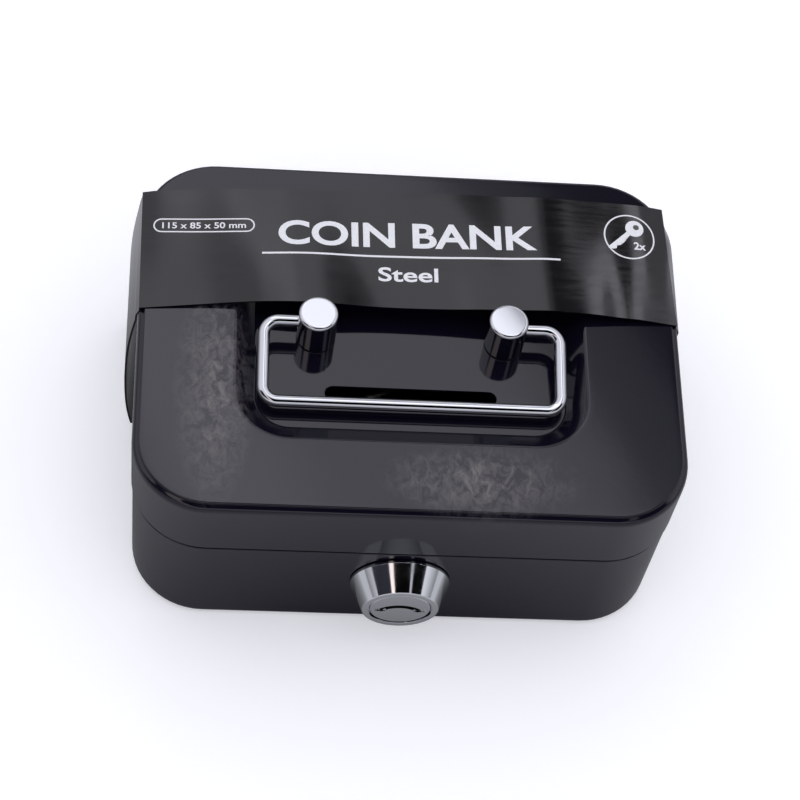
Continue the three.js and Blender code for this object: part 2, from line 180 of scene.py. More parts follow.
# ---------------------------------------------------------------- where a turned or cut shape stands
def upright(x=0.0, y=0.0):
    """Axis up."""
    return lambda u, v, h: Vector((x + u, y + v, h))


def along_y(x=0.0, z=0.0):
    """Axis from front to rear."""
    return lambda u, v, h: Vector((x + u, h, z + v))


def along_x(y=0.0, z=0.0):
    """Axis from left to right."""
    return lambda u, v, h: Vector((h, y + u, z + v))


# ---------------------------------------------------------------- skins
def rows_of(bm, rings):
    """Vertices, in metres, for each ring of points."""
    return [[bm.verts.new(Vector(point) * MM) for point in ring] for ring in rings]


def strip(bm, rows, closed_rows=False, material=0):
    """Faces between neighbouring rows of equal count, each row running round."""
    pairs = list(zip(rows, rows[1:])) + ([(rows[-1], rows[0])] if closed_rows else [])
    for a, b in pairs:
        for i in range(len(a)):
            j = (i + 1) % len(a)
            corners = list(dict.fromkeys((a[i], a[j], b[j], b[i])))
            if len(corners) > 2:
                bm.faces.new(corners).material_index = material


def fill(bm, *loops):
    """Flat faces inside the first loop and outside the others."""
    flat = [vertex for loop in loops for vertex in loop]
    for corners in tessellate_polygon([[vertex.co for vertex in loop] for loop in loops]):
        bm.faces.new([flat[i] for i in corners])


def turned(profile, steps, place, ring=False):
    """A lathe-turned solid from (radius, height) points. ring: the profile runs round a bore."""
    bm = bmesh.new()
    rows = []
    for radius, height in profile:
        if radius < 1e-6:
            rows.append([bm.verts.new(place(0, 0, height) * MM)] * steps)
        else:
            rows.append([bm.verts.new(place(u, v, height) * MM) for u, v in circle(radius, steps)])
    strip(bm, rows, closed_rows=ring)
    return bm


def plate(outline, low, high, place, edge=0.12, holes=()):
    """A blanked plate with softened edges and its holes."""
    bm = bmesh.new()
    loops_low, loops_high = [], []
    for number, loop in enumerate([outline, *holes]):
        eased = moved_in(loop, edge if number == 0 else -edge)
        levels = [(eased, low), (loop, low + edge), (loop, high - edge), (eased, high)]
        rows = rows_of(bm, [[place(u, v, h) for u, v in line] for line, h in levels])
        strip(bm, rows)
        loops_low.append(rows[0])
        loops_high.append(rows[-1])
    fill(bm, *loops_low)
    fill(bm, *loops_high)
    return bm


def block(low, high):
    """A plain cutting block."""
    x, y, z = zip(low, high)
    outline = [(x[0], y[0]), (x[1], y[0]), (x[1], y[1]), (x[0], y[1])]
    bm = bmesh.new()
    rows = rows_of(bm, [[(*p, z[0]) for p in outline], [(*p, z[1]) for p in outline]])
    strip(bm, rows)
    bm.faces.new(rows[0])
    bm.faces.new(rows[1])
    return bm


def as_object(name, bm):
    """The finished skin as an object, its faces pointing out."""
    bmesh.ops.remove_doubles(bm, verts=bm.verts, dist=1e-7)
    bmesh.ops.recalc_face_normals(bm, faces=bm.faces)
    mesh = bpy.data.meshes.new(name)
    bm.to_mesh(mesh)
    bm.free()
    made = bpy.data.objects.new(name, mesh)
    bpy.context.scene.collection.objects.link(made)
    return made


def solved_mesh(target):
    """A new mesh of the object as its modifiers or its font make it."""
    bpy.context.view_layer.update()
    return bpy.data.meshes.new_from_object(
        target.evaluated_get(bpy.context.evaluated_depsgraph_get()))


def machined(target, tools, operation="DIFFERENCE"):
    """Cuts the tools out of the target, or joins them to it, and drops them."""
    for number, tool in enumerate(tools):
        cutter = as_object(f"{target.name}_tool_{number}", tool)
        step = target.modifiers.new("machining", "BOOLEAN")
        step.operation = operation
        step.solver = "EXACT"
        step.object = cutter
        made = solved_mesh(target)
        target.modifiers.clear()
        old = target.data
        target.data = made
        bpy.data.meshes.remove(old)
        bpy.data.objects.remove(cutter)


def piece(name, bm, body, finishes, stands_for=(), cuts=(), joins=(), crisp=38):
    """One named piece: shaped, shaded, given its finish, and riding on its body."""
    made = as_object(name, bm) if isinstance(bm, bmesh.types.BMesh) else bm
    machined(made, joins, "UNION")
    machined(made, cuts)
    mesh = made.data
    mesh.name = name
    mesh.shade_smooth()
    mesh.set_sharp_from_angle(angle=math.radians(crisp))
    mesh.materials.clear()
    for finish in finishes if isinstance(finishes, (list, tuple)) else [finishes]:
        mesh.materials.append(finish)
    weighted = made.modifiers.new("even shading", "WEIGHTED_NORMAL")
    weighted.keep_sharp = True
    weighted.weight = 60
    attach(made, body)
    if stands_for:
        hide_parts(*stands_for)
    return made


# ---------------------------------------------------------------- materials
def shade(hex_colour):
    """An sRGB hex colour as linear red, green, blue and alpha."""
    values = [int(hex_colour[i:i + 2], 16) / 255 for i in (1, 3, 5)]
    return [v / 12.92 if v <= 0.04045 else ((v + 0.055) / 1.055) ** 2.4 for v in values] + [1.0]


def add(tree, kind, settings=None, sockets=None, links=None):
    """Adds one node, sets its own settings and sockets, and joins other nodes' outputs to it."""
    made = tree.nodes.new(kind)
    for key, value in (settings or {}).items():
        setattr(made, key, value)
    for key, value in (sockets or {}).items():
        made.inputs[key].default_value = value
    for key, (source, output) in (links or {}).items():
        tree.links.new(source.outputs[output], made.inputs[key])
    return made


def finish_of(name, shader_sockets):
    """A new material with its shader set up: (material, node tree, shader, coordinates)."""
    material = bpy.data.materials.new(name)
    material.use_nodes = True
    tree = material.node_tree
    tree.nodes.clear()
    shader = add(tree, "ShaderNodeBsdfPrincipled", sockets=shader_sockets)
    add(tree, "ShaderNodeOutputMaterial", links={"Surface": (shader, "BSDF")})
    place = add(tree, "ShaderNodeTexCoord")
    return material, tree, shader, place


def every(size):
    """Texture scale for a pattern that repeats about once in this many millimetres."""
    return 1 / (size * MM)


def between(tree, source, low, high, start=0.0, end=1.0, output="Fac"):
    """A value spread from start..end to low..high."""
    return add(tree, "ShaderNodeMapRange", sockets={
        "From Min": start, "From Max": end, "To Min": low, "To Max": high,
    }, links={"Value": (source, output)})


def stoving_enamel():
    """Black alkyd enamel, sprayed and baked on steel: a wet gloss, faint orange peel about 1.6 mm
    across, long soft waves of the pressed sheet under it, and a haze left by handling. The haze is
    rubbed in spots of about 2 mm."""
    material, tree, shader, place = finish_of("stoving enamel", {"IOR": 1.5, "Specular IOR Level": 0.5})
    wave = add(tree, "ShaderNodeTexNoise", sockets={"Scale": every(26), "Detail": 1.0},
               links={"Vector": (place, "Object")})
    peel = add(tree, "ShaderNodeTexNoise", sockets={"Scale": every(1.6), "Detail": 2.0},
               links={"Vector": (place, "Object")})
    waved = add(tree, "ShaderNodeBump", sockets={"Strength": 1.0, "Distance": 0.05 * MM},
                links={"Height": (wave, "Fac")})
    peeled = add(tree, "ShaderNodeBump", sockets={"Strength": 1.0, "Distance": 0.0022 * MM},
                 links={"Height": (peel, "Fac"), "Normal": (waved, "Normal")})
    tree.links.new(peeled.outputs["Normal"], shader.inputs["Normal"])

    # Two wiped patches on the lid: centre and half sizes in millimetres. They run through the
    # sheet, so they show faintly inside the lid and on the wall below too.
    patches = []
    for centre, size in [((-41, -14, 50), (9, 30, 30)), ((14, -34, 50), (22, 9, 30))]:
        moved = add(tree, "ShaderNodeMapping", {"vector_type": "TEXTURE"}, {
            "Location": [c * MM for c in centre], "Scale": [s * MM for s in size],
        }, {"Vector": (place, "Object")})
        patches.append(add(tree, "ShaderNodeTexGradient", {"gradient_type": "SPHERICAL"},
                           links={"Vector": (moved, "Vector")}))
    both = add(tree, "ShaderNodeMath", {"operation": "MAXIMUM"},
               links={0: (patches[0], "Fac"), 1: (patches[1], "Fac")})
    streak = add(tree, "ShaderNodeMapping", sockets={"Scale": (1, 0.7, 1), "Rotation": (0, 0, 0.3)},
                 links={"Vector": (place, "Object")})
    smear = add(tree, "ShaderNodeTexNoise", sockets={
        "Scale": every(2.2), "Detail": 6.0, "Roughness": 0.68, "Distortion": 0.7,
    }, links={"Vector": (streak, "Vector")})
    blotch = between(tree, smear, 0, 1, 0.4, 0.66)
    haze = add(tree, "ShaderNodeMath", {"operation": "MULTIPLY"},
               links={0: (both, "Value"), 1: (blotch, "Result")})
    colour = add(tree, "ShaderNodeMix", {"data_type": "RGBA"}, {
        "A": shade("#110f1d"), "B": shade("#76716f"),
    }, {"Factor": (haze, "Value")})
    tree.links.new(colour.outputs["Result"], shader.inputs["Base Color"])
    gloss = between(tree, haze, 0.07, 0.4, 0, 0.8, "Value")
    tree.links.new(gloss.outputs["Result"], shader.inputs["Roughness"])
    return material


def plated(name, colour, low, high, grain, depth, pattern=1.0):
    """Electroplated or stamped metal: a mirror with soft patches of low to high roughness, and a fine
    grain of the polished or rolled metal under it, in millimetres. pattern under 1 draws the grain
    out along Y, as a belt does."""
    material, tree, shader, place = finish_of(name, {"Base Color": shade(colour), "Metallic": 1.0})
    cloud = add(tree, "ShaderNodeTexNoise", sockets={"Scale": every(grain * 6), "Detail": 3.0},
                links={"Vector": (place, "Object")})
    gloss = between(tree, cloud, low, high, 0.3, 0.7)
    tree.links.new(gloss.outputs["Result"], shader.inputs["Roughness"])
    stretched = add(tree, "ShaderNodeMapping", sockets={"Scale": (1, pattern, 1)},
                    links={"Vector": (place, "Object")})
    fine = add(tree, "ShaderNodeTexNoise", sockets={"Scale": every(grain), "Detail": 4.0},
               links={"Vector": (stretched, "Vector")})
    bump = add(tree, "ShaderNodeBump", sockets={"Strength": 1.0, "Distance": depth * MM},
               links={"Height": (fine, "Fac")})
    tree.links.new(bump.outputs["Normal"], shader.inputs["Normal"])
    return material


def laminated_card():
    """Solid board, printed black and laminated with film: a clear sheen with fine rolled streaks
    along the band and the slight tooth of the board, which is drawn coarser than real to show."""
    material, tree, shader, place = finish_of("laminated card", {"IOR": 1.49})
    along = add(tree, "ShaderNodeMapping", sockets={"Scale": (0.12, 1, 1)},
                links={"Vector": (place, "Object")})
    streak = add(tree, "ShaderNodeTexNoise", sockets={"Scale": every(1.1), "Detail": 5.0},
                 links={"Vector": (along, "Vector")})
    tooth = add(tree, "ShaderNodeTexNoise", sockets={"Scale": every(0.7), "Detail": 3.0},
                links={"Vector": (place, "Object")})
    colour = add(tree, "ShaderNodeMix", {"data_type": "RGBA"}, {
        "A": shade("#0b090c"), "B": shade("#151317"),
    }, {"Factor": (streak, "Fac")})
    tree.links.new(colour.outputs["Result"], shader.inputs["Base Color"])
    gloss = between(tree, streak, 0.07, 0.13, 0.3, 0.7)
    tree.links.new(gloss.outputs["Result"], shader.inputs["Roughness"])
    rolled = add(tree, "ShaderNodeBump", sockets={"Strength": 1.0, "Distance": 0.0018 * MM},
                 links={"Height": (streak, "Fac")})
    bump = add(tree, "ShaderNodeBump", sockets={"Strength": 1.0, "Distance": 0.001 * MM},
               links={"Height": (tooth, "Fac"), "Normal": (rolled, "Normal")})
    tree.links.new(bump.outputs["Normal"], shader.inputs["Normal"])
    return material


def fibrous(name, dark, light, size, rough):
    """Something dull with a fine uneven grain, such as raw board or ink."""
    material, tree, shader, place = finish_of(name, {"IOR": 1.5, "Roughness": rough})
    grain = add(tree, "ShaderNodeTexNoise", sockets={"Scale": every(size), "Detail": 5.0},
                links={"Vector": (place, "Object")})
    colour = add(tree, "ShaderNodeMix", {"data_type": "RGBA"}, {"A": shade(dark), "B": shade(light)},
                 {"Factor": (grain, "Fac")})
    tree.links.new(colour.outputs["Result"], shader.inputs["Base Color"])
    bump = add(tree, "ShaderNodeBump", sockets={"Strength": 1.0, "Distance": 0.01 * MM},
               links={"Height": (grain, "Fac")})
    tree.links.new(bump.outputs["Normal"], shader.inputs["Normal"])
    return material


ENAMEL = stoving_enamel()
CHROME = plated("polished chrome plate", "#cdced2", 0.03, 0.08, 0.9, 0.0004)
LOCK_CHROME = plated("chrome on die-cast zinc", "#e3e5e8", 0.06, 0.14, 0.6, 0.0015)
ZINC = plated("bright zinc plate", "#b4b8b8", 0.22, 0.42, 0.8, 0.004)
BRASS = plated("stamped brass", "#c39c4e", 0.2, 0.36, 0.5, 0.003)
NICKEL = plated("nickel plate", "#c9c6bd", 0.14, 0.28, 0.5, 0.003, pattern=0.2)
CARD = laminated_card()
BOARD = fibrous("raw grey board", "#3a383b", "#565357", 0.35, 0.85)
INK = fibrous("white offset ink", "#dedfe2", "#f2f2f3", 0.5, 0.45)


# ---------------------------------------------------------------- tray
def tray():
    """Deep-drawn tray: rolled foot, joggle at the seam and a neck that the lid closes over."""
    side, foot = HALF_X - TRAY_HIGH.x, 4
    far = side + foot + 1
    line = fillet(
        [(far, 0), (side, 0), (side, SEAM_Z - 1.0), (NECK, SEAM_Z - 0.5), (NECK, TRAY_HIGH.z),
         (NECK + SHEET, TRAY_HIGH.z), (NECK + SHEET, SEAM_Z - SHEET), (side + SHEET, SEAM_Z - 1.5),
         (side + SHEET, SHEET), (far, SHEET)],
        [0, foot, 0.25, 0.2, 0.32, 0.32, 0.3, 0.3, foot - SHEET, 0], steps=7)
    bm = bmesh.new()
    rows = rows_of(bm, [shell(inset, z) for inset, z in line])
    strip(bm, rows)
    fill(bm, rows[0])
    fill(bm, rows[-1])
    flats, reach = 7, 7.8
    hole = [(u, max(-flats, min(flats, v))) for u, v in circle(reach, 48)]
    cutter = plate(hole, WALL_Y - 2, WALL_Y + SHEET + 2, along_y(0, LOCK_Z), edge=0.01)
    piece("tray", bm, "base", ENAMEL, ["base_shell"], cuts=[cutter])


# ---------------------------------------------------------------- lid
def lid():
    """Pressed lid: skirt, sloping shoulder, raised panel, and a recess with the coin slot."""
    under, spring_z = TOP_Z - SHEET, LEDGE_Z - SHOULDER_DEEP
    steps, sweep = 9, math.radians(75)
    shoulder = [(SHOULDER_IN * (1 - math.cos(a)), spring_z + SHOULDER_DEEP * math.sin(a))
                for a in (sweep * k / steps for k in range(steps + 1))]
    inside = fillet([(PANEL + SHEET + 1, under), (PANEL + SHEET, under), (SHEET, spring_z),
                     (SHEET, SEAM_Z), (0, SEAM_Z), (0, SEAM_Z + 1)],
                    [0, 0.6, 0.6, 0.3, 0.3, 0], steps=5)
    outside = fillet([(PANEL - 0.3, LEDGE_Z + 0.06), (PANEL, LEDGE_Z + 0.19), (PANEL, TOP_Z),
                      (PANEL + 1.5, TOP_Z)], [0, 0.1, 0.4, 0], steps=6)
    slope = fillet([(-1.2, 0), (0.45, 0), (WELL_SLOPE - 0.2, WELL_DROP), (WELL_SLOPE + 1, WELL_DROP)],
                   [0, 1.1, 0.9, 0], steps=7)
    rings = [well(inset - SHEET, under - drop) for inset, drop in reversed(slope)]
    rings += [shell(inset, z) for inset, z in inside]
    rings += [shell(inset, z) for inset, z in shoulder]
    rings += [shell(inset, z) for inset, z in outside]
    rings += [well(inset, TOP_Z - drop) for inset, drop in slope]
    bm = bmesh.new()
    rows = rows_of(bm, rings)
    strip(bm, rows)
    # The blanked slot's edge is rolled over: how far it opens at each depth. The screw holes are sharp.
    roll = [(0.28, 0), (0.1, 0.08), (0, 0.28), (0, SHEET - 0.28), (0.1, SHEET - 0.08), (0.28, SHEET)]
    hole = (3.6, 3.599, 0)
    tops, bottoms = [rows[-1]], [rows[0]]
    for x, y, length, width, eased in [(0, SLOT_Y, SLOT_LENGTH, SLOT_WIDTH, 1),
                                       (-POST_X, POST_Y, *hole), (POST_X, POST_Y, *hole)]:
        levels = []
        for grow, drop in roll:
            outline = stadium(length + 2 * grow * eased, width + 2 * grow * eased)
            levels.append([(x + u, y + v, FLOOR_Z - drop) for u, v in outline])
        opening = rows_of(bm, levels)
        strip(bm, opening)
        tops.append(opening[0])
        bottoms.append(opening[-1])
    fill(bm, *tops)
    fill(bm, *bottoms)
    piece("lid", bm, "lid", ENAMEL, ["lid_shell"])


# ---------------------------------------------------------------- handle
def posts():
    """Turned posts with a softened rim, bored from the side for the wire and from below for a screw."""
    for side, word in [(-1, "left"), (1, "right")]:
        low, high = POST_LOW.z, POST_HIGH.z
        line = fillet([(0, low), (POST_R, low), (POST_R, high), (0, high)], [0, 0.25, 0.75, 0], steps=7)
        x = side * POST_X
        inner, outer = x + side * (POST_R - POST_BORE_DEPTH), x + side * (POST_R + 1)
        bore_r = WIRE + 0.3
        bore = turned([(0, inner), (bore_r, inner), (bore_r, outer), (0, outer)],
                      32, along_x(POST_Y, PIVOT_Z))
        tapping = turned([(0, low - 1), (1.8, low - 1), (1.8, low + 3.3), (0, low + 3.3)],
                         28, upright(x, POST_Y))
        piece(f"post_{word}_turned", turned(line, 72, upright(x, POST_Y)), "lid", CHROME,
              [f"post_{word}"], cuts=[bore, tapping])


def handle():
    """Round wire bent into a U and folded down, its ends turned in to the posts and rounded off."""
    arm, front, back = BAIL_HIGH.x - WIRE, BAIL_LOW.y + WIRE, PIVOT_Y
    fall = (PIVOT_Z - BAIL_LOW.z - WIRE) / (back - front)
    tip = POST_X + POST_R - POST_BORE_DEPTH + 0.3
    bend = 3.2
    line = fillet([(tip, back), (arm, back), (arm, front), (-arm, front), (-arm, back), (-tip, back)],
                  [0, bend, bend, bend, bend, 0], steps=12)
    path = [Vector((x, y, PIVOT_Z - fall * (back - y))) for x, y in line]
    rounded = [(0.25, 0.0), (0.75, 0.1), (0.97, 0.35)]
    ends = {0: rounded, len(path) - 1: [(scale, -step) for scale, step in reversed(rounded)]}
    rings = []
    sides = 32
    for i, point in enumerate(path):
        ahead = (path[min(i + 1, len(path) - 1)] - path[max(i - 1, 0)]).normalized()
        across = ahead.cross(Vector((0, 0, 1))).normalized()
        upward = across.cross(ahead)
        for scale, step in ends.get(i, [(1, 0)]):
            centre = point + ahead * step
            rings.append([centre + across * u + upward * v for u, v in circle(WIRE * scale, sides)])
    bm = bmesh.new()
    rows = rows_of(bm, rings)
    strip(bm, rows)
    fill(bm, rows[0])
    fill(bm, rows[-1])
    piece("bail_wire", bm, "bail", CHROME, ["bail_handle"])


def post_fixings():
    """Pan-head screws with a cross recess, and their washers, under the lid."""
    head_top = FLOOR_Z - SHEET - 0.9
    for side, word in [(-1, "left"), (1, "right")]:
        x = side * POST_X
        line = fillet([(0, head_top - 1.7), (2.5, head_top - 1.7), (2.8, head_top), (1.5, head_top),
                       (1.5, FLOOR_Z + 3.2), (0, FLOOR_Z + 3.2)], [0, 1.0, 0.15, 0, 0.3, 0], steps=5)
        cross = [block((x - 1.5, POST_Y - 0.35, head_top - 3), (x + 1.5, POST_Y + 0.35, head_top - 0.8)),
                 block((x - 0.35, POST_Y - 1.5, head_top - 3), (x + 0.35, POST_Y + 1.5, head_top - 0.8))]
        piece(f"pan_screw_{word}", turned(line, 40, upright(x, POST_Y)), "lid", ZINC,
              [f"post_screw_{word}"], cuts=cross)
        washer = plate(circle(3.6, 40, x, POST_Y), FLOOR_Z - SHEET - 0.7, FLOOR_Z - SHEET - 0.2,
                       upright(), 0.08, [circle(1.8, 28, x, POST_Y)])
        piece(f"washer_{word}", washer, "lid", ZINC, [f"post_washer_{word}"])


# ---------------------------------------------------------------- lock
def crescent(grow, front, back, place, half_width=4.4, rise=2.2, thickness=1.3, edge=0.01):
    """The arched key section as a plate."""
    radius = (half_width ** 2 + rise ** 2) / (2 * rise)
    spread = math.asin((half_width + grow) / radius)
    half = thickness / 2 + grow
    middle = rise / 2 - radius
    steps = 14
    angles = [math.pi / 2 - spread + 2 * spread * k / steps for k in range(steps + 1)]
    outer = [((radius + half) * math.cos(a), middle + (radius + half) * math.sin(a)) for a in angles]
    inner = [((radius - half) * math.cos(a), middle + (radius - half) * math.sin(a)) for a in angles]
    return plate(outer + inner[::-1], front, back, place, edge)


def lock_case():
    """Cone collar and threaded barrel with two flats, cast in one, then plated."""
    collar_back = WALL_Y - 0.3
    line = fillet([(6.8, LOCK_FACE), (8.1, LOCK_FACE), (LOCK_HIGH.x, collar_back - 0.5),
                   (LOCK_HIGH.x, collar_back)], [0, 0.3, 0.35, 0], steps=5)
    plain, pitch, root_r = 1.2, 1.0, BARREL_R - 0.4
    line += [(BARREL_R, collar_back), (BARREL_R, collar_back + plain)]
    for k in range(int((LOCK_BACK - collar_back - 2) / pitch)):
        at = collar_back + plain + k * pitch
        line += [(root_r, at + 0.3 * pitch), (root_r, at + 0.45 * pitch),
                 (BARREL_R, at + 0.8 * pitch), (BARREL_R, at + pitch)]
    line += [(7.2, LOCK_BACK), (5.9, LOCK_BACK), (5.9, LOCK_FACE + 1.9), (6.8, LOCK_FACE + 1.9)]
    bm = turned(line, 96, along_y(0, LOCK_Z), ring=True)
    flat = 6.7
    for vertex in bm.verts:
        off = vertex.co.z / MM - LOCK_Z
        if vertex.co.y / MM > collar_back + 0.1 and abs(off) > flat:
            vertex.co.z = (LOCK_Z + math.copysign(flat, off)) * MM
    piece("lock_case", bm, "base", LOCK_CHROME, ["lock_housing"])


def lock_core():
    """Turning plug: flat face with the arched keyway, slots for the wafers, square end for the cam."""
    face, head_back = LOCK_FACE + 0.2, LOCK_FACE + 1.6
    end = span("lock_plug")[1].y
    line = fillet([(0, face), (6.5, face), (6.5, head_back), (5.6, head_back), (5.6, LOCK_BACK),
                   (0, LOCK_BACK)], [0, 0.25, 0, 0, 0.2, 0], steps=4)
    square = block((-2.5, LOCK_BACK - 1, LOCK_Z - 2.5), (2.5, end, LOCK_Z + 2.5))
    here = along_y(0, LOCK_Z)
    cuts = [crescent(0, face - 1, face + 17, here)]
    for side in (-1, 1):
        wing = stadium(2.6, 1.0)
        middle = side * 4.3
        cuts.append(plate([(u + middle, v - 0.75) for u, v in wing], face - 1, face + 0.35, here, 0.01))
    cuts.append(turned([(0, end - 4.5), (1.9, end - 4.5), (1.9, end + 1), (0, end + 1)], 28, here))
    for k in range(4):
        low, high = span(f"lock_wafer_{k + 1}")
        cuts.append(block((-7.5, low.y - 0.3, low.z - 0.3), (7.5, high.y + 0.3, high.z + 0.3)))
    piece("lock_core", turned(line, 88, here), "lock_barrel", LOCK_CHROME, ["lock_plug"],
          joins=[square], cuts=cuts)


def lock_fixings():
    """Behind the wall: hexagon nut, stop washer, hooked cam and its slotted screw."""
    low, high = span("lock_nut")
    across = (high.z - low.z) / 2
    inner = across - 0.2
    outline, corner = [], across / math.cos(math.pi / 6)
    for k in range(6):
        a = Vector((corner * math.cos(k * math.pi / 3), corner * math.sin(k * math.pi / 3)))
        b = Vector((corner * math.cos((k + 1) * math.pi / 3), corner * math.sin((k + 1) * math.pi / 3)))
        outline += [tuple(a.lerp(b, j / 8)) for j in range(8)]
    bm = bmesh.new()
    here = along_y(0, LOCK_Z)
    # The hexagon's corners are turned off on both faces.
    chamfer = [(math.hypot(u, v) - inner) * 0.5 for u, v in outline]
    flat_ring = [tuple(Vector(point).normalized() * inner) for point in outline]
    bore = circle(7.8, 48)
    rows = rows_of(bm, [
        [here(u, v, low.y) for u, v in bore],
        [here(u, v, low.y) for u, v in flat_ring],
        [here(u, v, low.y + c) for (u, v), c in zip(outline, chamfer)],
        [here(u, v, high.y - c) for (u, v), c in zip(outline, chamfer)],
        [here(u, v, high.y) for u, v in flat_ring],
        [here(u, v, high.y) for u, v in bore],
    ])
    strip(bm, rows, closed_rows=True)
    piece("hexagon_nut", bm, "base", ZINC, ["lock_nut"], crisp=25)

    hole = fillet([(-2.8, -2.8), (2.8, -2.8), (2.8, 2.8), (-2.8, 2.8)], 0.4, 3, closed=True)
    low, high = span("lock_stop_washer")
    piece("stop_washer", plate(circle(high.x, 56), low.y, high.y, here, 0.1, [hole]),
          "lock_barrel", ZINC, ["lock_stop_washer"])

    low, high = span("lock_cam")
    arm, half, finger, hook = -low.x, 3, high.z - LOCK_Z, 3
    hub_r, steps = 5, 30
    start = math.asin(half / hub_r) - math.pi
    hub = [(hub_r * math.cos(a), hub_r * math.sin(a))
           for a in (start - 2 * start * k / steps for k in range(steps + 1))]
    arm_line = fillet([hub[-1], (-arm + hook, half), (-arm + hook, finger), (-arm, finger),
                       (-arm, -half), hub[0]], [0, 0.8, 0.9, 1.2, 1.6, 0], steps=5)
    piece("hooked_cam", plate(hub + arm_line[1:-1], low.y, high.y, here, 0.14, [hole]),
          "lock_barrel", ZINC, ["lock_cam"])

    low, high = span("lock_cam_screw")
    under = span("lock_cam")[1].y + 0.2
    line = fillet([(0, low.y), (1.6, low.y), (1.6, under), (3.4, under), (3.2, high.y), (0, high.y)],
                  [0, 0.3, 0, 0.15, 0.9, 0], steps=5)
    groove = block((-4, high.y - 0.8, LOCK_Z - 0.45), (4, high.y + 1, LOCK_Z + 0.45))
    piece("cam_screw", turned(line, 44, here), "lock_barrel", ZINC, ["lock_cam_screw"],
          cuts=[groove])


def catch():
    """Strip bent twice: spot-welded flange under the panel, leg, and the lip that the cam hooks."""
    low, high = span("lid_catch")
    leg_back = span("lock_cam")[0].y - 0.7
    leg_front = leg_back - SHEET
    lip_top = low.z + SHEET
    outline = [(low.y, high.z - SHEET), (leg_front, high.z - SHEET), (leg_front, low.z),
               (high.y, low.z), (high.y, lip_top), (leg_back, lip_top), (leg_back, high.z),
               (low.y, high.z)]
    edge, bend_in, bend_out = 0.2, 0.3, 1.1
    line = fillet(outline, [edge, bend_in, bend_out, edge, edge, 0.35, bend_out, edge], 5, closed=True)
    piece("catch", plate(line, low.x, high.x, along_x(), 0.1), "lid", ZINC, ["lid_catch"])


# ---------------------------------------------------------------- hinge
def hinge():
    """Five-knuckle butt hinge: leaves rolled round a pin and spot-welded to the tray and the lid."""
    pin_low, pin_high = span("hinge_pin")
    barrel, pin, leaf, knuckles, gap = 1.7, 0.8, 0.8, 5, 0.15
    axis_y, axis_z = span("base_hinge_leaf")[1].y - barrel, SEAM_Z
    axis = along_x(axis_y, axis_z)
    for node, name, body, up in [("base_hinge_leaf", "tray_leaf", "base", -1),
                                 ("lid_hinge_leaf", "lid_leaf", "lid", 1)]:
        low, high = span(node)
        pitch = (high.x - low.x) / knuckles
        far = low.z if up < 0 else high.z
        corners = [(low.x, far), (high.x, far), (high.x, axis_z), (low.x, axis_z)]
        line = fillet(corners, [1.6, 1.6, 0.1, 0.1], 6, closed=True)
        bm = plate(line, low.y, low.y + leaf, along_y(), 0.1)
        rolled, rooms = [], []
        for k in range(knuckles):
            start, end = low.x + k * pitch, low.x + (k + 1) * pitch
            if (k % 2 == 1) == (up > 0):
                start, end, ease = start + gap, end - gap, 0.12
                wall = [(0, start), (barrel - ease, start), (barrel, start + ease),
                        (barrel, end - ease), (barrel - ease, end), (0, end)]
                rolled.append(turned(wall, 36, axis))
            else:
                start, end, clear = start - gap, end + gap, barrel + 0.3
                rooms.append(turned([(0, start), (clear, start), (clear, end), (0, end)], 36, axis))
        start, end, bore_r = low.x - 2, high.x + 2, pin + gap
        cuts = [turned([(0, start), (bore_r, start), (bore_r, end), (0, end)], 24, axis)]
        weld_z, face = (far + axis_z + up * barrel) / 2, low.y + leaf
        for k in range(knuckles):
            dish = [(0, face - 0.18), (1.1, face - 0.16), (1.55, face + 0.02), (1.55, face + 0.5),
                    (0, face + 0.5)]
            cuts.append(turned(dish, 28, along_y(low.x + (k + 0.5) * pitch, weld_z)))
        # The knuckles' room is cut before the knuckles are joined.
        made = as_object(name, bm)
        machined(made, rooms)
        piece(name, made, body, ENAMEL, [node], joins=rolled, cuts=cuts)
    head_r, head_x = barrel - 0.2, pin_high.x - 0.5
    rod = fillet([(0, pin_low.x), (pin, pin_low.x), (pin, head_x), (head_r, head_x),
                  (head_r, pin_high.x), (0, pin_high.x)], [0, 0.3, 0, 0.1, 0.25, 0], steps=4)
    piece("pin", turned(rod, 28, axis), "base", ZINC, ["hinge_pin"])


